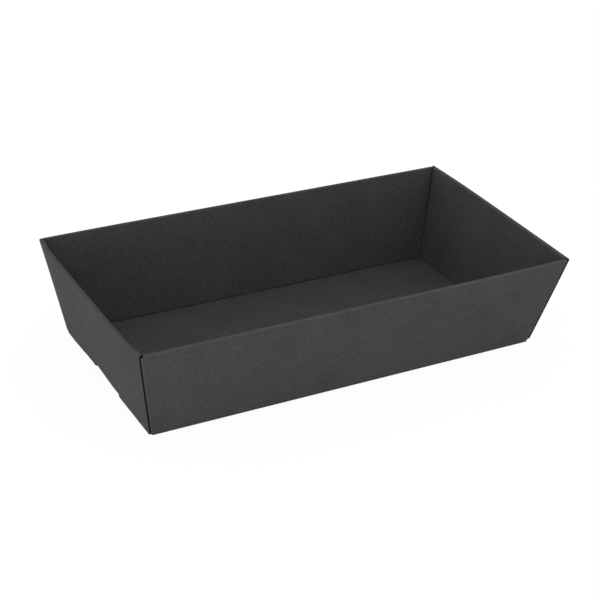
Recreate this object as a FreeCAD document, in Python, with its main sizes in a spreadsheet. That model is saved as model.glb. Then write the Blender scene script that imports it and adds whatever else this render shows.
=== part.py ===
"""Folded cardboard tray with flared walls: one die-cut blank, rolled over at every rim.

The long walls are doubled: each goes up, turns over the rim and comes down again as a lining. A flap at
each end of a long wall turns the corner and lies behind the end wall. The end walls then roll over those
flaps, and a tab on each end lining drops into a slot cut through the crease at the floor.
X runs along the tray, Y across it and Z up. The origin is the middle of the underside.
"""
import FreeCAD, Part
import os
import Sketcher

NODE = "tray"

# Driving dimensions in millimetres
DIMENSIONS = {
    # Envelope, over the outside of the board
    "base_length": 346,
    "base_width": 168,
    "rim_length": 382,
    "rim_width": 200,
    "tray_height": 82,
    # Board, and the air between two layers of it
    "board": 1.2,
    "layer_gap": 0.15,
    # Linings: height of the lower edge over the floor panel, and slit beside an end lining
    "foot_gap": 0.5,
    "lining_slit": 1.2,
    # Corners of the rim
    "rim_gap": 0.6,
    "strip_clearance": 0.4,
    "corner_setback": 0.4,
    # Flaps folded in behind the end walls
    "flap_reach": 54,
    "flap_foot": 1.0,
    # Length over which the last strip of a long wall runs on into the rest of it
    "strip_overlap": 4,
    # Round hole punched where the floor creases cross
    "relief_radius": 2.4,
    # Lock of the end lining into the floor
    "tab_width": 50,
    "tab_tip": 0.3,
    "slot_clearance": 0.5,
    "slot_rise": 2.4,
}

# Values worked out from the dimensions
DERIVED = {
    # Slope of a wall: how far it leans out for each millimetre of height
    "end_slope": "(dims.rim_length - dims.base_length) / 2 / (dims.tray_height - 2 * dims.board)",
    "side_slope": "(dims.rim_width - dims.base_width) / 2 / (dims.tray_height - 2 * dims.board)",
    # Board and air gap measured level across a leaning wall
    "end_skin": "dims.board * sqrt(1 + end_slope ^ 2)",
    "side_skin": "dims.board * sqrt(1 + side_slope ^ 2)",
    "end_air": "dims.layer_gap * sqrt(1 + end_slope ^ 2)",
    "side_air": "dims.layer_gap * sqrt(1 + side_slope ^ 2)",
    # Inside of the creases at the floor and at the rim
    "end_crease": "dims.base_length / 2 - dims.board",
    "side_crease": "dims.base_width / 2 - dims.board",
    "end_turn": "dims.rim_length / 2 - dims.board",
    "side_turn": "dims.rim_width / 2 - dims.board",
    "rim_underside": "dims.tray_height - dims.board",
    # Hidden faces of the linings at the rim, and the height of their lower edges
    "end_lining": "end_turn - end_skin - 2 * end_air",
    "side_lining": "side_turn - side_air",
    "lining_foot": "dims.board + dims.foot_gap",
    # Where the rim of a long wall stops short of the rim of the end wall
    "rim_stop": "end_lining - dims.board - dims.rim_gap",
    "notch_level": "rim_underside - dims.strip_clearance",
    # Lower edge of the corner flaps
    "flap_bottom": "dims.board + dims.flap_foot",
}


def make_sheets(doc):
    """Put the driving dimensions in one sheet and what follows from them in another."""
    dims = doc.addObject("Spreadsheet::Sheet", "dims")
    for row, (alias, size) in enumerate(DIMENSIONS.items(), start=1):
        dims.set(f"A{row}", alias)
        dims.set(f"B{row}", str(size))
        dims.setAlias(f"B{row}", alias)
    derived = doc.addObject("Spreadsheet::Sheet", "derived")
    for row, (alias, formula) in enumerate(DERIVED.items(), start=1):
        derived.set(f"A{row}", alias)
        derived.setAlias(f"B{row}", alias)
        derived.set(f"B{row}", f"={formula}")
    doc.recompute()


def number(sketch, expression):
    """Value of an expression, as the plain number a new line or dimension starts from."""
    value = sketch.evalExpression(expression)
    return float(getattr(value, "Value", value))


def place_point(sketch, line, end, place):
    """Hold one end of a line at a pair of expressions, measured from the sketch's own origin."""
    for kind, expression in zip(("DistanceX", "DistanceY"), place):
        index = sketch.addConstraint(Sketcher.Constraint(kind, line, end, number(sketch, expression)))
        sketch.setExpression(f"Constraints[{index}]", expression)


def tie_length(sketch, kind, item, expression):
    """Give a line its length, or an arc its radius."""
    index = sketch.addConstraint(Sketcher.Constraint(kind, item, number(sketch, expression)))
    sketch.setExpression(f"Constraints[{index}]", expression)


def draw_polygon(sketch, corners):
    """Closed outline through corners that are pairs of expressions."""
    points = [FreeCAD.Vector(number(sketch, across), number(sketch, up), 0) for across, up in corners]
    lines = [sketch.addGeometry(Part.LineSegment(a, b)) for a, b in zip(points, points[1:] + points[:1])]
    for line, following in zip(lines, lines[1:] + lines[:1]):
        sketch.addConstraint(Sketcher.Constraint("Coincident", line, 2, following, 1))
    for line, place in zip(lines, corners):
        place_point(sketch, line, 1, place)


def draw_folded_board(sketch, turns):
    """Board seen edge-on, as one closed outline with an arc round the outside of every fold.

    turns are pairs of expressions: the points where the hollow side of the board starts, folds and ends.
    The board lies to the right of the way from each to the next, and every fold turns left.
    """
    board = number(sketch, "dims.board")
    points = [FreeCAD.Vector(number(sketch, across), number(sketch, up), 0) for across, up in turns]
    ways = [(b - a).normalize() for a, b in zip(points, points[1:])]
    outward = [FreeCAD.Vector(way.y, -way.x, 0) * board for way in ways]
    inside = [sketch.addGeometry(Part.LineSegment(a, b)) for a, b in zip(points, points[1:])]
    outside = [
        sketch.addGeometry(Part.LineSegment(a + out, b + out))
        for a, b, out in zip(points, points[1:], outward)
    ]
    ends = (
        sketch.addGeometry(Part.LineSegment(points[0], points[0] + outward[0])),
        sketch.addGeometry(Part.LineSegment(points[-1], points[-1] + outward[-1])),
    )
    for line, following in zip(inside, inside[1:]):
        sketch.addConstraint(Sketcher.Constraint("Coincident", line, 2, following, 1))
    for cut, line, skin, end in ((ends[0], inside[0], outside[0], 1), (ends[1], inside[-1], outside[-1], 2)):
        sketch.addConstraint(Sketcher.Constraint("Coincident", cut, 1, line, end))
        sketch.addConstraint(Sketcher.Constraint("Coincident", cut, 2, skin, end))
        sketch.addConstraint(Sketcher.Constraint("Perpendicular", cut, line))
        tie_length(sketch, "Distance", cut, "dims.board")
    upright = FreeCAD.Vector(0, 0, 1)
    for fold, point in enumerate(points[1:-1]):
        before, after = outward[fold], outward[fold + 1]
        start = FreeCAD.Vector(1, 0, 0).getAngle(before) * (1 if before.y >= 0 else -1)
        finish = start + before.getAngle(after)
        arc = sketch.addGeometry(Part.ArcOfCircle(Part.Circle(point, upright, board), start, finish))
        sketch.addConstraint(Sketcher.Constraint("Coincident", arc, 3, inside[fold], 2))
        sketch.addConstraint(Sketcher.Constraint("Tangent", outside[fold], 2, arc, 1))
        sketch.addConstraint(Sketcher.Constraint("Tangent", arc, 2, outside[fold + 1], 1))
        tie_length(sketch, "Radius", arc, "dims.board")
    for line, place in zip(inside, turns):
        place_point(sketch, line, 1, place)
    place_point(sketch, inside[-1], 2, turns[-1])


def plane_of(body, role):
    """One of the body's own origin planes."""
    return next(plane for plane in body.Origin.OriginFeatures if plane.Role == role)


def add_sketch(body, name, role, draw, places):
    """Sketch on an origin plane of the body, drawn by one of the functions above."""
    sketch = body.newObject("Sketcher::SketchObject", name)
    sketch.AttachmentSupport = [(plane_of(body, role), "")]
    sketch.MapMode = "FlatFace"
    draw(sketch, places)
    return sketch


def add_pad(body, name, sketch, length, reverse=False):
    """Pad a section from the tray's middle plane outwards."""
    pad = body.newObject("PartDesign::Pad", name)
    pad.Profile = sketch
    pad.Reversed = reverse
    pad.setExpression("Length", length)
    sketch.Visibility = False
    return pad


def add_trim(body, name, sketch):
    """Cut away everything behind the sketch's outline, right through the body both ways."""
    body.Document.recompute()
    whole = body.Shape.Volume
    pocket = body.newObject("PartDesign::Pocket", name)
    pocket.Profile = sketch
    pocket.Type = "ThroughAll"
    pocket.Midplane = True
    sketch.Visibility = False
    body.Document.recompute()
    if not body.Shape.Volume < whole:
        raise RuntimeError(f"{name} cuts nothing")
    return pocket


def on_wall(at_rim, slope, height):
    """Level position, at a height, of a leaning line whose position under the rim is known."""
    return f"{at_rim} - (derived.rim_underside - ({height})) * derived.{slope}"


def make_long_wall(doc):
    """Quarter of the floor with half a long wall: up, over the rim and down again as its lining."""
    body = doc.addObject("PartDesign::Body", "long_wall")
    lining_bottom = on_wall("derived.side_lining", "side_slope", "derived.lining_foot")
    section = add_sketch(body, "long_wall_section", "YZ_Plane", draw_folded_board, [
        ("0", "dims.board"),
        ("derived.side_crease", "dims.board"),
        ("derived.side_turn", "derived.rim_underside"),
        ("derived.side_lining", "derived.rim_underside"),
        (lining_bottom, "derived.lining_foot"),
    ])
    add_pad(body, "long_wall_pad", section, "dims.rim_length / 2")
    above = "dims.tray_height + dims.board"
    trim = add_sketch(body, "long_wall_ends", "XZ_Plane", draw_polygon, [
        (on_wall("derived.end_lining", "end_slope", "0"), "0"),
        ("dims.rim_length", "0"),
        ("dims.rim_length", above),
        ("derived.rim_stop", above),
        ("derived.rim_stop", "derived.notch_level"),
        (on_wall("derived.end_lining", "end_slope", "derived.notch_level"), "derived.notch_level"),
    ])
    add_trim(body, "long_wall_trim", trim)
    return body


def trim_to_side(body, name, at_rim):
    """Cut the piece off along a line that leans as the long wall does."""
    above = "dims.tray_height + dims.board"
    trim = add_sketch(body, f"{name}_edge", "YZ_Plane", draw_polygon, [
        (on_wall(at_rim, "side_slope", "0"), "0"),
        ("dims.rim_width", "0"),
        ("dims.rim_width", above),
        (on_wall(at_rim, "side_slope", above), above),
    ])
    add_trim(body, f"{name}_trim", trim)


def make_end_wall(doc):
    """Quarter of the floor with half an end wall and the flat strip on its rim."""
    body = doc.addObject("PartDesign::Body", "end_wall")
    section = add_sketch(body, "end_wall_section", "XZ_Plane", draw_folded_board, [
        ("0", "dims.board"),
        ("derived.end_crease", "dims.board"),
        ("derived.end_turn", "derived.rim_underside"),
        ("derived.end_lining", "derived.rim_underside"),
    ])
    add_pad(body, "end_wall_pad", section, "dims.rim_width / 2", reverse=True)
    trim_to_side(body, "end_wall", "derived.side_turn + derived.side_skin - dims.corner_setback")
    return body


def make_end_lining(doc):
    """Half of an end wall's lining, hanging from the strip on the rim."""
    body = doc.addObject("PartDesign::Body", "end_lining")
    lining_bottom = on_wall("derived.end_lining", "end_slope", "derived.lining_foot")
    section = add_sketch(body, "end_lining_section", "XZ_Plane", draw_folded_board, [
        ("derived.end_turn", "derived.rim_underside"),
        ("derived.end_lining", "derived.rim_underside"),
        (lining_bottom, "derived.lining_foot"),
    ])
    add_pad(body, "end_lining_pad", section, "dims.rim_width / 2", reverse=True)
    trim_to_side(body, "end_lining", "derived.side_lining - derived.side_skin - dims.lining_slit")
    return body


def make_lock_tab(doc):
    """Half of the tab that carries on from the end lining down into the floor."""
    body = doc.addObject("PartDesign::Body", "lock_tab")
    section = add_sketch(body, "lock_tab_section", "XZ_Plane", draw_folded_board, [
        ("derived.end_lining", "derived.rim_underside"),
        (on_wall("derived.end_lining", "end_slope", "dims.tab_tip"), "dims.tab_tip"),
    ])
    add_pad(body, "lock_tab_pad", section, "dims.tab_width / 2", reverse=True)
    return body


def outer_corner_edge(shape):
    """Name of the slanted edge that lies farthest from the tray's middle."""
    def distance(index):
        middle = shape.Edges[index].CenterOfMass
        return abs(middle.x) + abs(middle.y)
    slanted = [
        index for index, edge in enumerate(shape.Edges)
        if abs(edge.Vertexes[0].Z - edge.Vertexes[-1].Z) > edge.Length / 2
    ]
    return f"Edge{max(slanted, key=distance) + 1}"


def make_corner_flap(doc):
    """Last strip of a long wall, its fold round the corner and the flap behind the end wall."""
    body = doc.addObject("PartDesign::Body", "corner_flap")
    rise = "(derived.flap_bottom - dims.board)"
    hollow_x = f"derived.end_crease + {rise} * derived.end_slope - derived.end_skin - derived.end_air"
    hollow_y = f"derived.side_crease + {rise} * derived.side_slope"
    start_x = f"{hollow_x} - dims.rim_gap - dims.strip_overlap"
    flap_end = f"{hollow_y} - dims.flap_reach"
    section = add_sketch(body, "corner_flap_section", "XY_Plane", draw_polygon, [
        (hollow_x, hollow_y),
        (start_x, hollow_y),
        (start_x, f"{hollow_y} + derived.side_skin"),
        (f"{hollow_x} + derived.end_skin", f"{hollow_y} + derived.side_skin"),
        (f"{hollow_x} + derived.end_skin", flap_end),
        (hollow_x, flap_end),
    ])
    section.setExpression("AttachmentOffset.Base.z", "derived.flap_bottom")
    pad = add_pad(body, "corner_flap_pad", section, "derived.notch_level - derived.flap_bottom")
    pad.UseCustomVector = True
    pad.AlongSketchNormal = True
    pad.Direction = FreeCAD.Vector(number(pad, "derived.end_slope"), number(pad, "derived.side_slope"), 1)
    pad.setExpression("Direction.x", "derived.end_slope")
    pad.setExpression("Direction.y", "derived.side_slope")
    doc.recompute()
    fold = body.newObject("PartDesign::Fillet", "corner_fold")
    fold.Base = (pad, [outer_corner_edge(pad.Shape)])
    fold.setExpression("Radius", "dims.board")
    return body


def make_relief(doc):
    """Round hole where the creases of the floor cross."""
    relief = doc.addObject("Part::Sphere", "corner_relief")
    relief.setExpression("Radius", "dims.relief_radius")
    relief.setExpression("Placement.Base.x", "derived.end_crease")
    relief.setExpression("Placement.Base.y", "derived.side_crease")
    relief.setExpression("Placement.Base.z", "dims.board")
    return relief


def make_slot(doc):
    """Half of the slot for the tab, cut through the crease between the floor and the end wall."""
    slot = doc.addObject("Part::Box", "lock_slot")
    inner_edge = f"{on_wall('derived.end_lining', 'end_slope', '0')} - derived.end_skin - dims.slot_clearance"
    slot.setExpression("Placement.Base.x", inner_edge)
    slot.setExpression("Placement.Base.z", "-dims.board")
    slot.setExpression("Length", "dims.rim_length")
    slot.setExpression("Width", "dims.tab_width / 2 + dims.slot_clearance")
    slot.setExpression("Height", "dims.board + dims.slot_rise")
    return slot


def fuse(doc, name, pieces):
    """One solid of pieces that share faces or run into each other."""
    union = doc.addObject("Part::MultiFuse", name)
    union.Shapes = pieces
    union.Refine = True
    return union


def cut(doc, name, base, tool):
    """Take one solid out of another."""
    difference = doc.addObject("Part::Cut", name)
    difference.Base = base
    difference.Tool = tool
    return difference


def join_with_mirror(doc, name, half, normal):
    """Join a half of the tray with its mirror image across a plane through the origin."""
    image = doc.addObject("Part::Mirroring", f"{name}_image")
    image.Source = half
    image.Normal = normal
    return fuse(doc, name, [half, image])


def make_tray(doc):
    """Quarter of the tray, doubled twice."""
    walls = fuse(doc, "walls", [make_long_wall(doc), make_end_wall(doc)])
    punched = cut(doc, "punched_walls", walls, make_relief(doc))
    slotted = cut(doc, "slotted_walls", punched, make_slot(doc))
    quarter = fuse(doc, "quarter", [slotted, make_corner_flap(doc), make_end_lining(doc), make_lock_tab(doc)])
    half = join_with_mirror(doc, "half", quarter, FreeCAD.Vector(0, 1, 0))
    tray = join_with_mirror(doc, "whole", half, FreeCAD.Vector(1, 0, 0))
    tray.Label = NODE
    return tray


def check(doc, tray):
    """Stop on a failed feature, or if the blank isn't one sound solid."""
    doc.recompute()
    failed = [item.Name for item in doc.Objects if {"Invalid", "Error"} & set(item.State)]
    if failed:
        raise RuntimeError(f"failed features: {', '.join(failed)}")
    shape = tray.Shape
    if shape.isNull() or not shape.isValid():
        raise RuntimeError("the tray has no sound shape")
    if len(shape.Solids) != 1:
        raise RuntimeError(f"the tray came out as {len(shape.Solids)} solids")


def main():
    doc = FreeCAD.newDocument("cardboard_tray")
    make_sheets(doc)
    tray = make_tray(doc)
    check(doc, tray)
    os.makedirs("parts", exist_ok=True)
    tray.Shape.exportStep(f"parts/{tray.Label}.step")
    box = tray.Shape.BoundBox
    print(f"{tray.Label}: {box.XLength:.1f} x {box.YLength:.1f} x {box.ZLength:.1f} mm")
    print(f"board volume {tray.Shape.Volume / 1000:.1f} cubic centimetres")


main()
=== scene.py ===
# %% [markdown]
# # A folded cardboard tray
# This file dresses a cardboard tray that was worked out in CAD. The real tray is one blank of thin
# fluted board, die-cut flat and folded up: floor, four leaning walls, rolled rims, and linings that come
# down inside. So the tray here is one mesh too. It is made the way the maker works: first the sheet as
# a surface without thickness, then its thickness, then its finish.

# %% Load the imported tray
import math

import bpy
import numpy as np
from mathutils import Matrix


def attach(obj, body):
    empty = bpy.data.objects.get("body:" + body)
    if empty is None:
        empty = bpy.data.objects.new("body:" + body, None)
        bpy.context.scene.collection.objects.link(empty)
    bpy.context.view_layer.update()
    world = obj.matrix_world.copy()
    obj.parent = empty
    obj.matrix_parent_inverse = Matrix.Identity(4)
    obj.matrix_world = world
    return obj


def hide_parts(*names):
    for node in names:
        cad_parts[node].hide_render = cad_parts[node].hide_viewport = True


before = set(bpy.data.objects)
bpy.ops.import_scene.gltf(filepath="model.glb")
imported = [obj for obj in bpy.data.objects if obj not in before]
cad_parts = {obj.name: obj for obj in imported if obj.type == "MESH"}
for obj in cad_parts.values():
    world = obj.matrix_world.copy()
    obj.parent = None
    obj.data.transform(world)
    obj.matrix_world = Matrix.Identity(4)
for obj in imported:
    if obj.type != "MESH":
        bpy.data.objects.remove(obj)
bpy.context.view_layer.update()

# %% [markdown]
# ## Sizes
# Blender works in metres, and board is measured in millimetres, so the sizes are written in
# millimetres and multiplied once. X runs along the tray, Y across it. Walls, rims and layers have the
# sizes of the solid.
#
# The "hollow side" of the board is the side that faces the inside of every fold. All folds of this tray
# turn the same way, so one side of the sheet is the hollow side everywhere.

# %% Sizes of the tray
MM = 0.001
BASE_LENGTH, BASE_WIDTH = 346 * MM, 168 * MM
RIM_LENGTH, RIM_WIDTH = 382 * MM, 200 * MM
HEIGHT = 82 * MM
BOARD = 1.2 * MM
LAYER_GAP = 0.15 * MM
TAB_WIDTH = 50 * MM
FLAP_REACH = 54 * MM

end_slope = (RIM_LENGTH - BASE_LENGTH) / 2 / (HEIGHT - 2 * BOARD)
side_slope = (RIM_WIDTH - BASE_WIDTH) / 2 / (HEIGHT - 2 * BOARD)
end_skin = BOARD * math.hypot(1, end_slope)
side_skin = BOARD * math.hypot(1, side_slope)
end_air = LAYER_GAP * math.hypot(1, end_slope)
side_air = LAYER_GAP * math.hypot(1, side_slope)
end_crease, side_crease = BASE_LENGTH / 2 - BOARD, BASE_WIDTH / 2 - BOARD
end_turn, side_turn = RIM_LENGTH / 2 - BOARD, RIM_WIDTH / 2 - BOARD
rim_underside = HEIGHT - BOARD
wall_rise = rim_underside - BOARD
end_lining = end_turn - end_skin - 2 * end_air
side_lining = side_turn - side_air
print("end walls lean out", round(math.degrees(math.atan(end_slope)), 1), "degrees")
print("long walls lean out", round(math.degrees(math.atan(side_slope)), 1), "degrees")


def on_wall(at_rim, slope, height):
    """Level place of a leaning line: its place under the rim less slope times the drop from there."""
    return at_rim - (rim_underside - height) * slope


# %% [markdown]
# ## Small openings
# Where edges of the blank meet, the real tray shows thin dark slits. They could be painted on, but open
# slits look right from every side. They were set against the photograph, and at the corners and lock
# slots they differ from the solid's openings by less than two millimetres.

# %% Gaps, slits and slots
FOOT_GAP = 0.6 * MM  # from the floor panel up to the linings
RIM_GAP = 0.9 * MM  # from the end of a long rim to the strip of the end rim
SHOULDER_GAP = 0.15 * MM  # the same at the long rim's outer fold
LINING_SLIT = 0.8 * MM  # between an end lining and a long wall's lining
LINING_SHORT = 0.6 * MM  # by which a long wall's lining stops short of the end lining, under the rim
FOOT_SHARE = 0.4  # the share of that at the lining's foot
STRIP_MITRE = 1.3 * MM  # by which the left end's rim narrows as it turns in
STRIP_CLEARANCE = 0.4 * MM  # from a long wall's notched corner up to the end rim
CORNER_SETBACK = 0.4 * MM  # from a long wall's outer face in to the end wall's edge
LEFT_SETBACK = 1.5  # how many setbacks more the left end has at its rim
RELIEF = 1.5 * MM  # radius of the hole at each corner of the floor
TAB_TIP = 0.3 * MM  # height at which the tab ends
SLOT_CLEARANCE, SLOT_RISE = 0.5 * MM, 3.4 * MM

lining_foot = BOARD + FOOT_GAP
rim_stop = end_lining - RIM_GAP
notch_level = rim_underside - STRIP_CLEARANCE
slot_half = TAB_WIDTH / 2 + SLOT_CLEARANCE
slot_edge = on_wall(end_lining, end_slope, 0) - end_skin - SLOT_CLEARANCE
print("the lock slots are", round(2 * slot_half / MM), "mm wide")


def bitten(distance):
    """Share of the corner hole's radius that is left at a distance from the crease.

    share = sqrt(1 - (distance / radius) squared), and nothing beyond the radius."""
    return np.sqrt(np.clip(1 - (np.abs(distance) / RELIEF) ** 2, 0, 1))


# %% [markdown]
# ## The folded sheet, seen edge-on
# A sheet that is folded along parallel lines looks the same all along those lines. So a wall, its rim
# and its lining are first drawn as a line in two dimensions. It could be drawn as a curve with bevelled
# corners. Here it is worked out, so that every point knows which part of the tray it belongs to.
#
# The line is the middle of the board's thickness. At a fold the middle turns on a small arc.

# %% Middle line of a folded sheet
FOLD_RADIUS = 0.06 * MM
FOLD_STEPS = 6


def folded_line(turns, stations):
    """Middle line of folded board: its points, and the run that each is on.

    On a run, point = turning point + distance * way + normal * board / 2, with the normal to the right.
    On a fold, point = centre + (radius + board / 2) * (cos angle, sin angle), from one normal to the next.
    Runs are numbered from 0, and a point on the fold after run 2 has 2.5.
    """
    turns = np.array(turns, float)
    steps = np.diff(turns, axis=0)
    lengths = np.linalg.norm(steps, axis=1)
    ways = steps / lengths[:, None]
    normals = np.stack((ways[:, 1], -ways[:, 0]), axis=1)
    headings = np.unwrap(np.arctan2(normals[:, 1], normals[:, 0]))
    setbacks = np.concatenate(([0], FOLD_RADIUS * np.tan(np.diff(headings) / 2), [0]))
    points, runs = [], []
    for run, way in enumerate(ways):
        first, last = setbacks[run], lengths[run] - setbacks[run + 1]
        between = np.asarray(stations[run]) * lengths[run]
        along = np.concatenate(([first], between[(between > first) & (between < last)], [last]))
        points.append(turns[run] + along[:, None] * way + normals[run] * BOARD / 2)
        runs.append(np.full(len(along), float(run)))
        if run + 1 < len(ways):
            middle = (normals[run] + normals[run + 1]) / 2
            centre = turns[run + 1] - middle / (middle @ middle) * FOLD_RADIUS
            angles = np.linspace(headings[run], headings[run + 1], FOLD_STEPS + 1)[1:-1]
            spokes = np.stack((np.cos(angles), np.sin(angles)), axis=1)
            points.append(centre + (FOLD_RADIUS + BOARD / 2) * spokes)
            runs.append(np.full(len(angles), run + 0.5))
    return np.concatenate(points), np.concatenate(runs)


def reach_along(line):
    """Length of a line of points from its start to each point, which is its place on the flat blank."""
    return np.concatenate(([0], np.cumsum(np.linalg.norm(np.diff(line, axis=0), axis=1))))


# %% [markdown]
# ## Where the grid lines go
# Each sheet becomes a grid: rows are the points of the edge-on line, and columns run across it. Grid
# lines are needed wherever the die cut something: the edges of the slot and of the tab, the notch at
# each end of a rim, the hole at each corner of the floor. Booleans could cut these later, but they leave
# ragged faces, and here a cut is only a cell that is left out. Elsewhere the lines are spread out evenly,
# close enough for a wall to bow. The levels are fractions of a wall's height.

# %% Stations up a wall and across the floor
LOW_LEVELS = np.array((0.5 * MM, 1.0 * MM, RELIEF, 2.4 * MM, SLOT_RISE, 5.0 * MM)) / wall_rise
EVEN_LEVELS = np.linspace(0.08, 0.94, 12)
TOP_LEVELS = np.array((wall_rise - 3 * MM, notch_level - BOARD, wall_rise - 0.15 * MM)) / wall_rise
up_the_wall = np.concatenate((LOW_LEVELS, EVEN_LEVELS, TOP_LEVELS))
down_the_lining = 1 - up_the_wall[::-1]

HOLE_LINES = np.array((1, 0.75, 0.5, 0.25)) * RELIEF
EVEN_MARGIN = 8 * MM
across_floor = np.concatenate((
    np.linspace(0, TAB_WIDTH / 2, 5),
    [slot_half],
    np.linspace(TAB_WIDTH / 2 + EVEN_MARGIN, side_crease - EVEN_MARGIN, 7),
    side_crease - HOLE_LINES,
))
print(len(up_the_wall), "levels on a wall,", len(across_floor), "lines across half the floor")

# %% [markdown]
# ## The long sheet
# Floor, both long walls, their rims and linings, and the flaps at the four corners are one grid. Its rows
# run from the foot of one lining, over the rim and down, across the floor, and up the other side. At the
# ends of a long wall the columns carry on round the corner and become the flap behind the end wall.
# Walls could be made one by one and joined, but one grid keeps them joined through their folds, as the
# real blank does.

# %% Rows of the long sheet
half_line, half_runs = folded_line(
    [
        (0, BOARD),
        (side_crease, BOARD),
        (side_turn, rim_underside),
        (side_lining, rim_underside),
        (on_wall(side_lining, side_slope, lining_foot), lining_foot),
    ],
    [across_floor / side_crease, up_the_wall, (), down_the_lining],
)
row_side = np.concatenate((-np.ones(len(half_line)), np.ones(len(half_line) - 1)))
row_points = np.concatenate((half_line[::-1] * (-1, 1), half_line[1:]))
row_runs = np.concatenate((half_runs[::-1], half_runs[1:]))
row_y, row_z = row_points[:, 0], row_points[:, 1]
row_reach = reach_along(row_points)
print("the long sheet is", round(row_reach[-1] / MM), "mm wide when it is laid flat")

# %% [markdown]
# ## The end sheet
# Each end of the floor carries on as an end wall, which turns in at the top, runs flat over the flap and
# goes down again as a lining, with a tab in its middle. It is worked out the same way, in X and Z. Its
# columns fan out towards the rim, so it is a grid of its own and not part of the long sheet's.

# %% Rows of an end sheet
tab_length = (lining_foot - TAB_TIP) / (rim_underside - TAB_TIP)
end_line, end_runs = folded_line(
    [
        (0, BOARD),
        (end_crease, BOARD),
        (end_turn, rim_underside),
        (end_lining, rim_underside),
        (on_wall(end_lining, end_slope, TAB_TIP), TAB_TIP),
    ],
    [(), up_the_wall, (0.5,), np.append(down_the_lining * (1 - tab_length), 1 - tab_length)],
)
end_line, end_runs = end_line[1:], end_runs[1:]
end_start = end_line[0, 0]
end_reach = reach_along(end_line)
print("an end sheet is", round(end_reach[-1] / MM), "mm long from crease to tip of tab")

# %% [markdown]
# ## From grids to one sheet
# A grid of points becomes quads by joining each point to its neighbours. Quads that the die cut away are
# left out with a mask. The winding of a quad says which side is its front, and here the front is the side
# away from the hollow. Each quad also keeps where its corners lay on the flat blank, because the flutes
# inside the board run along the blank whatever it is folded into.

# %% Quads of a masked grid
HAIR = 0.2 * MM  # levels nearer to each other than this count as equal


def widened(column, width):
    """A column of values, repeated along every row of a grid."""
    return np.repeat(column[:, None], width, axis=1)


def grid_quads(points, flat, rub_and_highlight, keep, turned=False):
    """Quads of a grid, as arrays of corner points, flat places and rubbed edges.

    Quads of a grid, as arrays of corner points, flat places and fold marks (wear and painted highlight)."""
    def corners(values):
        cells = np.stack((values[:-1, :-1], values[1:, :-1], values[1:, 1:], values[:-1, 1:]), axis=2)
        return cells[keep][:, ::-1] if turned else cells[keep]

    return corners(points), corners(flat), corners(rub_and_highlight)


# %% Columns of the long sheet
MAIN_LINES = 49
PART_CELLS = {"strip": 3, "turn": 5, "flap": 6}
TURN_RADIUS = FOLD_RADIUS + BOARD / 2
side_lines = sum(PART_CELLS.values())
long_columns = 2 * side_lines + MAIN_LINES
print("the long sheet has", len(row_z), "rows and", long_columns, "columns")


def side_columns(part):
    """Columns of the long sheet that belong to its strip, turn or flap, on the right, then on the left."""
    names = list(PART_CELLS)
    start = sum(PART_CELLS[name] for name in names[:names.index(part)])
    right = side_lines + MAIN_LINES + start + np.arange(PART_CELLS[part])
    return np.concatenate((right, long_columns - 1 - right))


def cells_of(part):
    """Cells of the long sheet in one part, on both sides: the cell that ends at each of its columns."""
    columns = side_columns(part)
    return np.where(columns > long_columns // 2, columns - 1, columns)


def long_sheet_halves():
    """Half-lengths of the long sheet at each row: to the main part's end, to the strip's, and to the flap.

    Main part = slot edge + (rim's stop - slot edge) * share of height. The strip ends at the bitten
    crease on the floor, at the turn round the corner on a wall, and by the end lining above them."""
    lift = np.clip((row_z - BOARD) / wall_rise, 0, 1)
    middle = slot_edge + (rim_stop - slot_edge) * lift
    flap = end_crease + (row_z - BOARD) * end_slope - end_skin / 2 - end_air
    floor_end = end_start - RELIEF * bitten(side_crease - np.abs(row_y))
    corner = flap - TURN_RADIUS
    wall_end = corner - (corner - (end_crease - RELIEF)) * bitten(np.maximum(row_z - BOARD, 0))
    shoulder = np.full(len(row_z), end_lining - SHOULDER_GAP)
    short = LINING_SHORT * (FOOT_SHARE + (1 - FOOT_SHARE) * lift)
    lining_end = on_wall(end_lining, end_slope, row_z) - end_skin - short
    parts = [row_runs == 0, row_runs <= 1, row_runs <= 2, row_runs > 2]
    return middle, np.select(parts, [floor_end, wall_end, shoulder, lining_end]), flap


# %% Long sheet
def long_sheet():
    """Grid of the long sheet: straight columns, then round each corner on an arc, then along the flap.

    Arc point = centre + radius * (sin angle, cos angle), in the level section at each row."""
    middle, outer, flap = long_sheet_halves()
    strip = np.linspace(0, 1, PART_CELLS["strip"] + 1)[1:]
    angle = np.linspace(0, math.pi / 2, PART_CELLS["turn"] + 1)[1:]
    reach = np.linspace(0, 1, PART_CELLS["flap"] + 1)[1:] * FLAP_REACH
    wall_y = np.abs(row_y)[:, None]
    strip_x = middle[:, None] + (outer - middle)[:, None] * strip
    turn_x = (flap - TURN_RADIUS)[:, None] + TURN_RADIUS * np.sin(angle)
    turn_y = wall_y - TURN_RADIUS + TURN_RADIUS * np.cos(angle)
    flap_y = wall_y - TURN_RADIUS - reach
    side_x = np.hstack((strip_x, turn_x, widened(flap, len(reach))))
    strip_y = widened(row_y, len(strip))
    side_y = np.hstack((strip_y, np.hstack((turn_y, flap_y)) * row_side[:, None]))
    main_x = middle[:, None] * np.linspace(-1, 1, MAIN_LINES)
    x = np.hstack((-side_x[:, ::-1], main_x, side_x))
    y = np.hstack((side_y[:, ::-1], widened(row_y, MAIN_LINES), side_y))
    points = np.stack((x, y, widened(row_z, long_columns)), axis=2)
    steps = np.linalg.norm(np.diff(points, axis=1), axis=2)
    along = np.hstack((np.zeros((len(row_z), 1)), np.cumsum(steps, axis=1)))
    along -= along[:, [long_columns // 2]]
    flat = np.stack((along, widened(row_reach, long_columns)), axis=2)
    rub_and_highlight = widened(row_runs % 1 > 0, long_columns).astype(float)
    # the turns round the corners are marked too: their lighter colour is wear and painted highlight
    rub_and_highlight[:, side_columns("turn")] = 1
    return points, flat, rub_and_highlight


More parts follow.
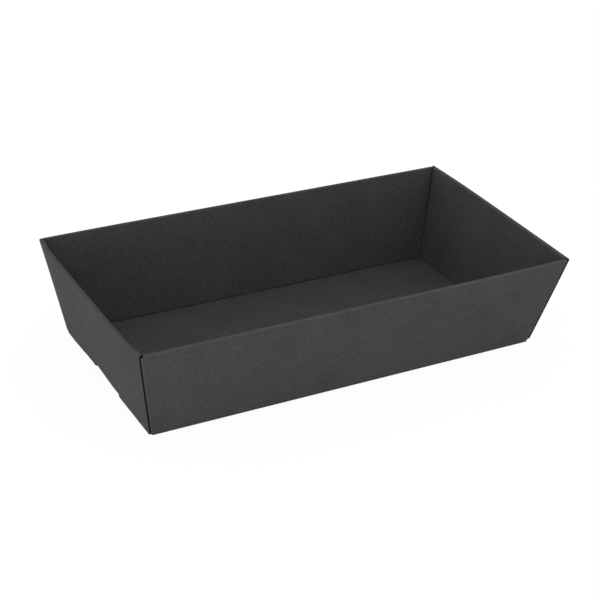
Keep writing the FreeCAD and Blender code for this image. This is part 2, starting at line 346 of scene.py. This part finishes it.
def long_sheet_mask():
    """True for each cell of the long sheet that is board."""
    run = (row_runs[:-1] + row_runs[1:]) / 2
    low = np.minimum(row_z[:-1], row_z[1:])
    high = np.maximum(row_z[:-1], row_z[1:])
    in_slot = np.abs(row_y[:-1] + row_y[1:]) / 2 < slot_half
    below_notch = high < notch_level + HAIR
    floor = (run < 1) & ~((run == 0) & in_slot)
    wall = (run == 1) & below_notch
    shoulder = (run > 1) & (run <= 1.5) | (run == 1) & ~below_notch
    lining = (run == 3) & below_notch
    keep = np.ones((len(run), long_columns - 1), bool)
    keep[:, cells_of("strip")] = (floor | wall | shoulder | lining)[:, None]
    keep[:, cells_of("turn")] = (wall & (low > BOARD + RELIEF - HAIR))[:, None]
    keep[:, cells_of("flap")] = wall[:, None]
    return keep


long_quads = grid_quads(*long_sheet(), long_sheet_mask())
print("long sheet:", len(long_quads[0]), "quads")

# %% End sheets
OUTER_CELLS = 3


def end_sheet(sign):
    """Grid of one end sheet: its columns start at the floor's own lines and fan out up to the rim.

    y = foot + (top - foot) * lift, and lift is the share of the wall's height. Outside these columns a
    few more reach the end wall's edge, which lies a setback inside the long wall's outer face."""
    inner = (np.abs(row_y) < side_crease - RELIEF + 0.01 * MM) & (row_runs == 0)
    foot = row_y[inner]
    side_top = side_lining - side_skin - LINING_SLIT
    fan = (side_top - slot_half) / (side_crease - RELIEF - slot_half)
    fanned = np.sign(foot) * (slot_half + (np.abs(foot) - slot_half) * fan)
    top = np.where(np.abs(foot) <= slot_half, foot, fanned)
    x, z = end_line[:, 0], end_line[:, 1]
    lift = np.clip((z - BOARD) / wall_rise, 0, 1)
    inner_y = foot + (top - foot) * lift[:, None]
    edge = inner_y[:, -1]
    is_left = sign < 0
    turned_in = np.clip((end_turn - x) / (end_turn - end_lining), 0, 1) * (end_runs > 1)
    setback = CORNER_SETBACK * (1 + LEFT_SETBACK * lift * is_left)
    full = on_wall(side_turn + side_skin - setback, side_slope, z)
    full -= STRIP_MITRE * turned_in * is_left
    limit = full - (full - edge) * bitten(np.maximum(z - BOARD, 0))
    share = np.linspace(0, 1, OUTER_CELLS + 1)[1:]
    outer_y = edge[:, None] + (limit - edge)[:, None] * share
    y = np.hstack((-outer_y[:, ::-1], inner_y, outer_y))
    width = y.shape[1]
    points = np.stack((sign * widened(x, width), y, widened(z, width)), axis=2)
    flat = np.stack((sign * (slot_edge + widened(end_reach, width)), y + row_reach[-1] / 2), axis=2)
    # the folds of the end sheet are marked for the same lighter colour: wear and painted highlight
    rub_and_highlight = widened(end_runs % 1 > 0, width).astype(float)
    return points, flat, rub_and_highlight


def end_sheet_mask(points):
    """True for each cell of an end sheet that is board: not in the slot, and no lining beside the tab."""
    run = (end_runs[:-1] + end_runs[1:]) / 2
    z = end_line[:, 1]
    low, high = np.minimum(z[:-1], z[1:]), np.maximum(z[:-1], z[1:])
    y = np.abs(points[0, :-1, 1] + points[0, 1:, 1]) / 2
    columns = len(y)
    keep = np.ones((len(run), columns), bool)
    keep[np.ix_(run > 2, np.r_[:OUTER_CELLS, columns - OUTER_CELLS:columns])] = False
    keep[np.ix_((run < 2) & (high < BOARD + SLOT_RISE), y < slot_half)] = False
    keep[np.ix_((run == 3) & (low < lining_foot - HAIR), y > TAB_WIDTH / 2)] = False
    return keep


end_quads = []
for sign in (-1, 1):
    end_grid = end_sheet(sign)
    end_quads.append(grid_quads(*end_grid, end_sheet_mask(end_grid[0]), turned=sign > 0))
    print("end sheet at", sign, "has", len(end_quads[-1][0]), "quads")

# %% [markdown]
# ## Welding the grids
# The floor and the end sheets share the points of the end creases. A modifier could merge them, but here
# equal points are found with one sort: every corner is rounded to a thousandth of a millimetre, and
# corners with the same numbers become one vertex. Where a grid was squeezed to a point, at the corner
# holes, a quad is left with three corners or fewer.

# %% One sheet of shared points
WELD = 0.001 * MM
quad_points, quad_flat, quad_rub_and_highlight = (
    np.concatenate([sheet[part] for sheet in (long_quads, *end_quads)]) for part in range(3)
)
rounded = np.round(quad_points.reshape(-1, 3) / WELD).astype(np.int64)
_, first_seen, vertex_of = np.unique(rounded, axis=0, return_index=True, return_inverse=True)
vertex_of = vertex_of.reshape(-1, 4)
sheet_points = quad_points.reshape(-1, 3)[first_seen]
sheet_rub_and_highlight = quad_rub_and_highlight.reshape(-1)[first_seen]
pinched = vertex_of == np.roll(vertex_of, -1, axis=1)
is_quad = pinched.sum(axis=1) == 0
is_triangle = pinched.sum(axis=1) == 1
corners_kept = ~pinched[is_triangle]
quads, quads_flat = vertex_of[is_quad], quad_flat[is_quad]
triangles = vertex_of[is_triangle][corners_kept].reshape(-1, 3)
triangles_flat = quad_flat[is_triangle][corners_kept].reshape(-1, 3, 2)
print(len(sheet_points), "points,", len(quads), "quads,", len(triangles), "triangles")

# %% [markdown]
# ## Bends that the hand leaves
# A folded tray is never as true as its drawing. The left end wall is free along its middle and held at
# its corners, so it bulges and its corners are drawn in. The creases of the floor and the corners have
# each moved by a millimetre or two, and the left end's foot is pushed in beside its slot. A lattice
# could bend the mesh. Here every point is moved by a smooth field that depends only on where the point
# is, so all layers of a wall move together.

# %% Bends
LEFT_DRAW, BOW_POWER = 3.4 * MM, 7
DRAW_START, DRAW_END = 100 * MM, 190 * MM
CREASE_REACH = 40 * MM
CREASE_MOVES = (  # axis, side, move along the axis
    (0, -1, 1.5 * MM),
    (0, 1, 0.8 * MM),
    (1, -1, 1.2 * MM),
)
DENT_PLACE, DENT_HALF, DENT_DEPTH = 28 * MM, 46 * MM, 1.2 * MM
END_POWER, SIDE_POWER = 6, 3
CORNER_MOVES = (  # end, side, whether at the rim, move in millimetres
    (1, -1, True, (-0.4, 2.1, 0.0)),
    (1, 1, True, (-2.1, 0.0, 0.0)),
    (-1, 1, True, (0.4, -0.3, -0.3)),
    (1, -1, False, (-2.1, 0.4, 0.0)),
    (-1, 1, False, (2.0, 0.0, 0.0)),
)


def smooth_step(value, low, high):
    """0 below low, 1 above high, and 3t^2 - 2t^3 of the share t between them."""
    share = np.clip((value - low) / (high - low), 0, 1)
    return share * share * (3 - 2 * share)


def bent_by_hand(points):
    """Points moved by the bow of the left end, then by the creases, by the dent and by the corners.

    bow = draw * (|y| / half width)^7 * height share, and it fades out towards the tray's middle.
    A crease's move fades out over its reach, and up the wall. dent = depth * (1 - distance share^2)^2.
    A corner's share falls off as (x / half length)^6 * (y / half width)^3."""
    x, y, z = points.T
    lift = np.clip(z / HEIGHT, 0, 1)
    moved = points.copy()
    half_width = on_wall(side_turn + side_skin, side_slope, z)
    across = np.clip(np.abs(y) / half_width, 0, 1) ** BOW_POWER
    moved[:, 0] += LEFT_DRAW * smooth_step(-x, DRAW_START, DRAW_END) * lift * across
    for axis, side, move in CREASE_MOVES:
        crease = (end_crease, side_crease)[axis]
        near = smooth_step(side * points[:, axis], crease - CREASE_REACH, crease)
        moved[:, axis] += move * near * (1 - lift)
    dent = np.clip(1 - ((y - DENT_PLACE) / DENT_HALF) ** 2, 0, 1) ** 2
    near = smooth_step(-x, end_crease - CREASE_REACH, end_crease)
    moved[:, 0] += DENT_DEPTH * dent * near * (1 - lift)
    for end, side, at_rim, move in CORNER_MOVES:
        along = np.clip(end * x / (RIM_LENGTH / 2), 0, 1) ** END_POWER
        near = along * np.clip(side * y / (RIM_WIDTH / 2), 0, 1) ** SIDE_POWER
        moved += (near * (lift if at_rim else 1 - lift))[:, None] * np.array(move) * MM
    return moved


straight_points = sheet_points
sheet_points = bent_by_hand(straight_points)
farthest = np.linalg.norm(sheet_points - straight_points, axis=1).max()
print("the hand moves the sheet by up to", round(farthest / MM, 1), "mm")

# %% [markdown]
# ## Thickness
# Blender's Solidify modifier gives a surface its thickness. It doesn't say where across the board's
# edge a point lies, and the cut edges need that for their flutes, so the same thing is done here with
# arrays: every point goes half the board's thickness to each side along its normal, and each open edge
# of the sheet gets a strip that joins the two skins.

# %% Normals and open edges
SHARPEST = 0.5  # least square of a mean normal, so that a sharp corner doesn't shoot out


def face_normals(points, faces):
    """Unit normals: the cross product of the diagonals of a quad, or of two sides of a triangle."""
    a, b, c = points[faces[:, 0]], points[faces[:, 1]], points[faces[:, 2]]
    d = points[faces[:, 3]] if faces.shape[1] == 4 else a
    normals = np.cross(c - a, d - b)
    return normals / np.linalg.norm(normals, axis=1, keepdims=True)


def thickness_ways(points, face_sets):
    """Way from the middle to the front skin at each point, for a thickness of 1.

    way = mean normal / (mean normal . mean normal), so that the faces on both sides keep their distance."""
    total, count = np.zeros_like(points), np.zeros(len(points))
    for faces in face_sets:
        normals = face_normals(points, faces)
        for corner in faces.T:
            np.add.at(total, corner, normals)
            np.add.at(count, corner, 1)
    mean = total / np.maximum(count, 1)[:, None]
    return mean / np.maximum((mean * mean).sum(axis=1, keepdims=True), SHARPEST)


def open_edges(face_sets, flat_sets):
    """Edges with a face on one side only, in that face's winding, with the flat places of both ends.

    An edge is alone where no face has it the other way round."""
    starts = np.concatenate([faces.ravel() for faces in face_sets])
    ends = np.concatenate([np.roll(faces, -1, axis=1).ravel() for faces in face_sets])
    flat_starts = np.concatenate([flat.reshape(-1, 2) for flat in flat_sets])
    flat_ends = np.concatenate([np.roll(flat, -1, axis=1).reshape(-1, 2) for flat in flat_sets])
    count = len(sheet_points)
    alone = ~np.isin(starts * count + ends, ends * count + starts)
    return starts[alone], ends[alone], flat_starts[alone], flat_ends[alone]


ways = thickness_ways(sheet_points, (quads, triangles))
skins = np.concatenate((sheet_points + ways * BOARD / 2, sheet_points - ways * BOARD / 2))
edge_start, edge_end, edge_flat_start, edge_flat_end = open_edges(
    (quads, triangles), (quads_flat, triangles_flat)
)
edge_lengths = np.linalg.norm(sheet_points[edge_end] - sheet_points[edge_start], axis=1)
print("length of all cut edges:", round(edge_lengths.sum(), 2), "m")

# %% [markdown]
# ## The mesh
# The front skin keeps the sheet's winding, the back skin has it reversed, and the cut edges lie between.
# The UV map holds places on the flat blank in metres. On a cut edge it holds the place across the flutes
# and the share of the board's thickness instead, which is what the edge's material needs. The point
# attribute "rub" is 1 on the folds. An unwrap could make a UV map by itself, but it wouldn't know which way
# the flutes run.

# %% Skins and cut edges in one mesh
SHARP_ANGLE = 35
back = len(sheet_points)
edge_quads = np.stack((edge_start, edge_start + back, edge_end + back, edge_end), axis=1)
zero, one = np.zeros(len(edge_start)), np.ones(len(edge_start))
edge_uv = np.stack((
    np.stack((edge_flat_start[:, 1], zero), axis=1),
    np.stack((edge_flat_start[:, 1], one), axis=1),
    np.stack((edge_flat_end[:, 1], one), axis=1),
    np.stack((edge_flat_end[:, 1], zero), axis=1),
), axis=1)
four_sided = np.concatenate((quads, quads[:, ::-1] + back, edge_quads))
four_uv = np.concatenate((quads_flat, quads_flat[:, ::-1], edge_uv))
three_sided = np.concatenate((triangles, triangles[:, ::-1] + back))
three_uv = np.concatenate((triangles_flat, triangles_flat[:, ::-1]))

tray_mesh = bpy.data.meshes.new("folded_tray")
tray_mesh.from_pydata(skins.tolist(), [], four_sided.tolist() + three_sided.tolist())
blank_map = tray_mesh.uv_layers.new(name="blank")
blank_map.data.foreach_set("uv", np.concatenate((four_uv.ravel(), three_uv.ravel())).astype(np.float32))
# marks of the folds: a lighter colour for wear and a painted highlight on the rims
rub_and_highlight_layer = tray_mesh.attributes.new("rub_and_highlight", "FLOAT", "POINT")
rub_and_highlight_layer.data.foreach_set("value", np.tile(sheet_rub_and_highlight, 2).astype(np.float32))
cut_faces = np.zeros(len(tray_mesh.polygons), np.int32)
cut_faces[2 * len(quads):2 * len(quads) + len(edge_quads)] = 1
tray_mesh.polygons.foreach_set("material_index", cut_faces)
tray_mesh.shade_smooth()
tray_mesh.set_sharp_from_angle(angle=math.radians(SHARP_ANGLE))
folded_tray = bpy.data.objects.new("folded_tray", tray_mesh)
bpy.context.scene.collection.objects.link(folded_tray)
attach(folded_tray, "root")
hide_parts("tray")
print("folded_tray has", len(tray_mesh.polygons), "faces")

# %% [markdown]
# ## Paper
# Both the skins and the torn fibres at the cut edges are the same dark paper, so its grain is a node
# group that both materials use. An image could hold the grain, but noise needs no file, and read from
# Object coordinates it doesn't stretch at folds. Three scales of it are enough: clouds of a few
# centimetres where the pulp lay thicker, a mottle of a millimetre or two, and a finer tooth for the bump.

# %% Node helpers
MIX_FIRST, MIX_SECOND, MIX_RESULT = 6, 7, 2  # where a Mix node keeps its colours


def add_node(tree, kind, links=(), **values):
    """New node with its values set by socket or property name and its inputs linked."""
    node = tree.nodes.new(kind)
    for name, value in values.items():
        if hasattr(node, name):
            setattr(node, name, value)
        else:
            node.inputs[name.replace("_", " ")].default_value = value
    for socket, source in links:
        tree.links.new(source, node.inputs[socket])
    return node


def calculate(tree, operation, *values, **settings):
    """Output of a Math node whose inputs are numbers or the outputs of other nodes."""
    node = add_node(tree, "ShaderNodeMath", operation=operation, **settings)
    for socket, value in enumerate(values):
        if isinstance(value, (int, float)):
            node.inputs[socket].default_value = value
        else:
            tree.links.new(value, node.inputs[socket])
    return node.outputs[0]


def noise(tree, place, waves, roughness=0.5):
    """Noise with a number of waves to the metre."""
    values = {"Scale": waves, "Detail": 2, "Roughness": roughness}
    return add_node(tree, "ShaderNodeTexNoise", [("Vector", place)], **values).outputs[0]


# %% Paper grain group
CLOUDS, MOTTLE, TOOTH = 28, 650, 2600  # waves to the metre
CLOUD_SHARE = 0.3
GRAIN_MIDDLE = (1 + CLOUD_SHARE) / 2


def paper_grain_group():
    """Group that puts out a tone around 1 and a height in metres for uncoated dark paper.

    tone = 1 + contrast * (clouds * share + mottle - their middle), and height = tooth + mottle."""
    tree = bpy.data.node_groups.new("paper_grain", "ShaderNodeTree")
    tree.interface.new_socket("Place", in_out="INPUT", socket_type="NodeSocketVector")
    tree.interface.new_socket("Contrast", in_out="INPUT", socket_type="NodeSocketFloat")
    tree.interface.new_socket("Tone", in_out="OUTPUT", socket_type="NodeSocketFloat")
    tree.interface.new_socket("Height", in_out="OUTPUT", socket_type="NodeSocketFloat")
    given = tree.nodes.new("NodeGroupInput")
    out = tree.nodes.new("NodeGroupOutput")
    clouds = noise(tree, given.outputs["Place"], CLOUDS)
    mottle = noise(tree, given.outputs["Place"], MOTTLE, 0.6)
    tooth = noise(tree, given.outputs["Place"], TOOTH)
    both = calculate(tree, "MULTIPLY_ADD", clouds, CLOUD_SHARE, mottle)
    centred = calculate(tree, "SUBTRACT", both, GRAIN_MIDDLE)
    tone = calculate(tree, "MULTIPLY_ADD", centred, given.outputs["Contrast"], 1)
    height = calculate(tree, "ADD", tooth, mottle)
    tree.links.new(tone, out.inputs["Tone"])
    tree.links.new(height, out.inputs["Height"])
    return tree


paper_grain = paper_grain_group()
grain_outputs = [item.name for item in paper_grain.interface.items_tree if item.in_out == "OUTPUT"]
print("paper_grain puts out", grain_outputs)


def add_grain(tree, contrast):
    """Paper grain read from Object coordinates."""
    place = tree.nodes.new("ShaderNodeTexCoord")
    grain = add_node(tree, "ShaderNodeGroup", node_tree=paper_grain)
    tree.links.new(place.outputs["Object"], grain.inputs["Place"])
    grain.inputs["Contrast"].default_value = contrast
    return grain


def colour_skin(tree, skin, share, first, second, tone):
    """Base Color = the mix of two colours, times the tone."""
    mix = add_node(tree, "ShaderNodeMix", [(0, share)], data_type="RGBA")
    mix.inputs[MIX_FIRST].default_value, mix.inputs[MIX_SECOND].default_value = first, second
    links = [(0, mix.outputs[MIX_RESULT]), ("Scale", tone)]
    toned = add_node(tree, "ShaderNodeVectorMath", links, operation="SCALE")
    tree.links.new(toned.outputs[0], skin.inputs["Base Color"])


def roughen_skin(tree, skin, height, strength, distance):
    """Normal from a Bump node."""
    bump = add_node(tree, "ShaderNodeBump", [("Height", height)], Strength=strength, Distance=distance)
    tree.links.new(bump.outputs[0], skin.inputs["Normal"])


# %% [markdown]
# ## Black kraft
# The liner is uncoated black paper: matt, with hardly any gloss. On the folds it is a little lighter,
# partly where a fold has stretched its fibres and partly as a painted highlight where the rims catch the
# light. Wear could be found with Ambient Occlusion or Pointiness. Here each fold's points carry an
# attribute that marks them, because the script knows where the folds are.

# %% Black kraft skin
KRAFT = (0.060, 0.060, 0.0602, 1)
# lighter colour of the folds: partly wear, partly painted highlight where the rims catch the light
RUBBED_AND_HIGHLIGHT = (0.072, 0.072, 0.0722, 1)


def new_material(name):
    """Empty material with a Principled shader wired to its output."""
    material = bpy.data.materials.new(name)
    material.use_nodes = True
    tree = material.node_tree
    return material, tree, tree.nodes["Principled BSDF"]


def black_kraft():
    """Matt dark liner, a little lighter on the folds: partly wear, partly painted highlight."""
    material, tree, skin = new_material("black_kraft")
    grain = add_grain(tree, 1.15)
    rub_and_highlight = add_node(tree, "ShaderNodeAttribute", attribute_name="rub_and_highlight")
    colour_skin(tree, skin, rub_and_highlight.outputs["Fac"], KRAFT, RUBBED_AND_HIGHLIGHT, grain.outputs["Tone"])
    roughen_skin(tree, skin, grain.outputs["Height"], 0.35, 0.06 * MM)
    skin.inputs["Roughness"].default_value = 0.82
    skin.inputs["Specular IOR Level"].default_value = 0.15
    return material


tray_mesh.materials.append(black_kraft())
print("the skins have the finish", tray_mesh.materials[0].name)

# %% [markdown]
# ## Cut edges
# A cut edge of fluted board shows two thin liners with a wave of paper between them. The holes of the wave
# lie in deep shade, which is painted: they are coloured nearly black. From a step away the edge is a dark
# line, so its paper is darker than the skins'.
# The wave could be modelled, but it is finer than a millimetre, so it is drawn from the UV map: across the
# flutes it swings like a sine, and paper is where the share of thickness is near the wave or near a liner.

# %% Fluted cut edge
FLUTE_PITCH, FLUTE_SWING = 1.9 * MM, 0.34
LINER_SHARE, WAVE_SHARE = 0.11, 0.08
# painted shade: the flute holes are coloured nearly black in place of the shade inside them
FLUTE_HOLE_SHADE = (0.001, 0.001, 0.001, 1)
TORN_PAPER = (0.015, 0.015, 0.015, 1)


def cut_edge():
    """Liners and fluting of a cut edge, painted shade in the holes: wave = 0.5 + swing * sin(2 pi * place /
    pitch).
    """
    material, tree, skin = new_material("cut_edge")
    grain = add_grain(tree, 0.6)
    flat = add_node(tree, "ShaderNodeUVMap", uv_map="blank")
    split = add_node(tree, "ShaderNodeSeparateXYZ", [(0, flat.outputs[0])])
    place, depth = split.outputs["X"], split.outputs["Y"]
    swing = calculate(tree, "SINE", calculate(tree, "MULTIPLY", place, 2 * math.pi / FLUTE_PITCH))
    wave = calculate(tree, "MULTIPLY_ADD", swing, FLUTE_SWING, 0.5)
    from_wave = calculate(tree, "ABSOLUTE", calculate(tree, "SUBTRACT", depth, wave))
    from_middle = calculate(tree, "ABSOLUTE", calculate(tree, "SUBTRACT", depth, 0.5))
    on_wave = calculate(tree, "LESS_THAN", from_wave, WAVE_SHARE)
    on_liner = calculate(tree, "GREATER_THAN", from_middle, 0.5 - LINER_SHARE)
    paper = calculate(tree, "MAXIMUM", on_wave, on_liner)
    colour_skin(tree, skin, paper, FLUTE_HOLE_SHADE, TORN_PAPER, grain.outputs["Tone"])
    height = calculate(tree, "MULTIPLY_ADD", grain.outputs["Height"], 0.1, paper)
    roughen_skin(tree, skin, height, 0.6, 0.3 * MM)
    skin.inputs["Roughness"].default_value = 0.95
    skin.inputs["Specular IOR Level"].default_value = 0.1
    return material


tray_mesh.materials.append(cut_edge())
print("the cut edges have the finish", tray_mesh.materials[1].name)

# %% [markdown]
# ## Floor
# The tray stands on a wide pale floor. To the camera the floor is nearly white of its own, and the rest
# of its colour comes from the light that falls on it, so a soft shadow stays where the tray stands. More
# light would whiten the floor too, but it would wash out the tray. Under the tray the floor has a patch of
# painted shade: a dark sheet that is seen through the slots from above and is clear from below, so that
# the underside can be looked at.

# %% Pale floor
FLOOR_HALF = 3.0
FLOOR_DROP = 0.02 * MM
PATCH_INSET, PATCH_LEFT_MOVE = 2.5 * MM, 2.0 * MM
SELF_WHITE, WHITE_STRENGTH = 0.92, 1.03


def bare_material(name):
    """Material without nodes, and its empty node tree."""
    material = bpy.data.materials.new(name)
    material.use_nodes = True
    material.node_tree.nodes.clear()
    return material, material.node_tree


def send_mix(tree, output_kind, share, first, second):
    """Sends the mix of two shaders to a new output of the tree."""
    links = [(0, share), (1, first.outputs[0]), (2, second.outputs[0])]
    mix = add_node(tree, "ShaderNodeMixShader", links)
    add_node(tree, output_kind, [("Surface", mix.outputs[0])])


def pale_floor():
    """Diffuse floor that is mixed with plain white for the camera, for gloss and through glass."""
    material, tree = bare_material("pale_floor")
    rays = tree.nodes.new("ShaderNodeLightPath")
    seen = calculate(tree, "MAXIMUM", rays.outputs["Is Camera Ray"], rays.outputs["Is Glossy Ray"])
    seen = calculate(tree, "MAXIMUM", seen, rays.outputs["Is Transmission Ray"])
    share = calculate(tree, "MULTIPLY", seen, SELF_WHITE)
    matt = add_node(tree, "ShaderNodeBsdfDiffuse", Color=(0.9, 0.9, 0.9, 1))
    white = add_node(tree, "ShaderNodeEmission", Color=(1, 1, 1, 1), Strength=WHITE_STRENGTH)
    send_mix(tree, "ShaderNodeOutputMaterial", share, matt, white)
    return material


def painted_shade_patch():
    """Painted shade under the tray: dark to the camera from above, and clear from below and to every other
    ray.
    """
    material, tree = bare_material("painted_shade_patch")
    camera_ray = tree.nodes.new("ShaderNodeLightPath").outputs["Is Camera Ray"]
    from_below = tree.nodes.new("ShaderNodeNewGeometry").outputs["Backfacing"]
    above = calculate(tree, "SUBTRACT", camera_ray, from_below, use_clamp=True)
    clear = tree.nodes.new("ShaderNodeBsdfTransparent")
    # painted shade: a dark sheet where the floor under the tray lies in shade
    shade = add_node(tree, "ShaderNodeBsdfDiffuse", Color=(0.02, 0.02, 0.02, 1))
    send_mix(tree, "ShaderNodeOutputMaterial", above, clear, shade)
    return material


square = np.array(((-1, -1, 0), (1, -1, 0), (1, 1, 0), (-1, 1, 0)))
# the patch of painted shade lies just inside the floor panel of the tray
patch = square * (BASE_LENGTH / 2 - PATCH_INSET, BASE_WIDTH / 2 - PATCH_INSET, 0)
patch[square[:, 0] < 0, 0] += PATCH_LEFT_MOVE
floor_points = np.concatenate((square * FLOOR_HALF, patch)) - (0, 0, FLOOR_DROP)
ring_faces = [(i, (i + 1) % 4, (i + 1) % 4 + 4, i + 4) for i in range(4)]
floor_mesh = bpy.data.meshes.new("studio_floor")
floor_mesh.from_pydata(floor_points.tolist(), [], ring_faces + [(4, 5, 6, 7)])
floor_mesh.materials.append(pale_floor())
floor_mesh.materials.append(painted_shade_patch())
floor_mesh.polygons[len(ring_faces)].material_index = 1
studio_floor = bpy.data.objects.new("studio_floor", floor_mesh)
bpy.context.scene.collection.objects.link(studio_floor)
print("floor is", 2 * FLOOR_HALF, "m square")

# %% [markdown]
# ## Light
# A plain pale surrounding lights the tray from everywhere, at a strength at which a colour renders about
# as it is written. It could do alone, but then all outer walls would be equally bright. In the
# photograph the left end is the brightest and the front comes next, so two soft lamps stand low on
# those sides.

# %% Surrounding light
WORLD_LIGHT = 0.85
world = bpy.data.worlds.new("studio")
bpy.context.scene.world = world
world.use_nodes = True
world_tree = world.node_tree
world_tree.nodes.clear()
world_rays = world_tree.nodes.new("ShaderNodeLightPath")
room = add_node(world_tree, "ShaderNodeBackground", Color=(1, 1, 1, 1), Strength=WORLD_LIGHT)
backdrop = add_node(world_tree, "ShaderNodeBackground", Color=(1, 1, 1, 1), Strength=1.0)
world_seen = calculate(
    world_tree, "MAXIMUM", world_rays.outputs["Is Camera Ray"], world_rays.outputs["Is Transmission Ray"]
)
send_mix(world_tree, "ShaderNodeOutputWorld", world_seen, room, backdrop)
print("surrounding light at", WORLD_LIGHT)

# %% Soft lamps
LAMP_SIZE = 0.3
LAMP_TARGET = (0, 0, 0.04)


def soft_lamp(name, place, power):
    """Square area lamp that faces the tray: its Z axis points back from the target to its place."""
    lamp = bpy.data.lights.new(name, "AREA")
    lamp.shape, lamp.size, lamp.energy = "SQUARE", LAMP_SIZE, power
    stand = bpy.data.objects.new(name, lamp)
    away = np.array(place, float) - np.array(LAMP_TARGET, float)
    away /= np.linalg.norm(away)
    side = np.cross((0, 0, 1), away)
    side /= np.linalg.norm(side)
    pose = np.eye(4)
    pose[:3, 0], pose[:3, 1], pose[:3, 2], pose[:3, 3] = side, np.cross(away, side), away, place
    stand.matrix_world = Matrix(pose.tolist())
    bpy.context.scene.collection.objects.link(stand)


soft_lamp("left_lamp", (-0.9, -0.15, 0.02), 1.25)
soft_lamp("front_lamp", (-0.1, -1.0, 0.07), 1.0)

# %% [markdown]
# ## Camera
# The camera stands where the photograph was taken from. It could be placed by eye. Here its angles,
# distance and lens were worked out from the creases and rims of the tray, whose sizes are known, so no
# shift is needed. The offset is where the tray's middle lies from the camera: to its right, above it and
# behind it, so numbers below nought are to the left, below and ahead.

# %% Camera
AZIMUTH, ELEVATION, ROLL = -0.53115, 0.50430, 0.06135
CAMERA_OFFSET = np.array((-0.320, -30.947, -1288.125)) * MM
FOCAL_PIXELS, FRAME_PIXELS = 1558.900, 600
SENSOR = 36.0

away = np.array((
    math.sin(AZIMUTH) * math.cos(ELEVATION), -math.cos(AZIMUTH) * math.cos(ELEVATION), math.sin(ELEVATION)
))
level = np.array((math.cos(AZIMUTH), math.sin(AZIMUTH), 0))
upward = np.cross(away, level)
camera_axes = np.stack((
    level * math.cos(ROLL) + upward * math.sin(ROLL),
    upward * math.cos(ROLL) - level * math.sin(ROLL),
    away,
))
camera_pose = np.eye(4)
camera_pose[:3, :3] = camera_axes.T
camera_pose[:3, 3] = -camera_axes.T @ CAMERA_OFFSET
lens = bpy.data.cameras.new("camera")
lens.sensor_fit, lens.sensor_width = "HORIZONTAL", SENSOR
lens.lens = FOCAL_PIXELS / FRAME_PIXELS * SENSOR
lens.clip_start, lens.clip_end = 0.05, 20
camera = bpy.data.objects.new("camera", lens)
camera.matrix_world = Matrix(camera_pose.tolist())
bpy.context.scene.collection.objects.link(camera)
bpy.context.scene.camera = camera
bpy.context.scene.view_settings.view_transform = "Standard"
print("camera stands", round(float(np.linalg.norm(camera_pose[:3, 3])), 2), "m from the tray's middle")
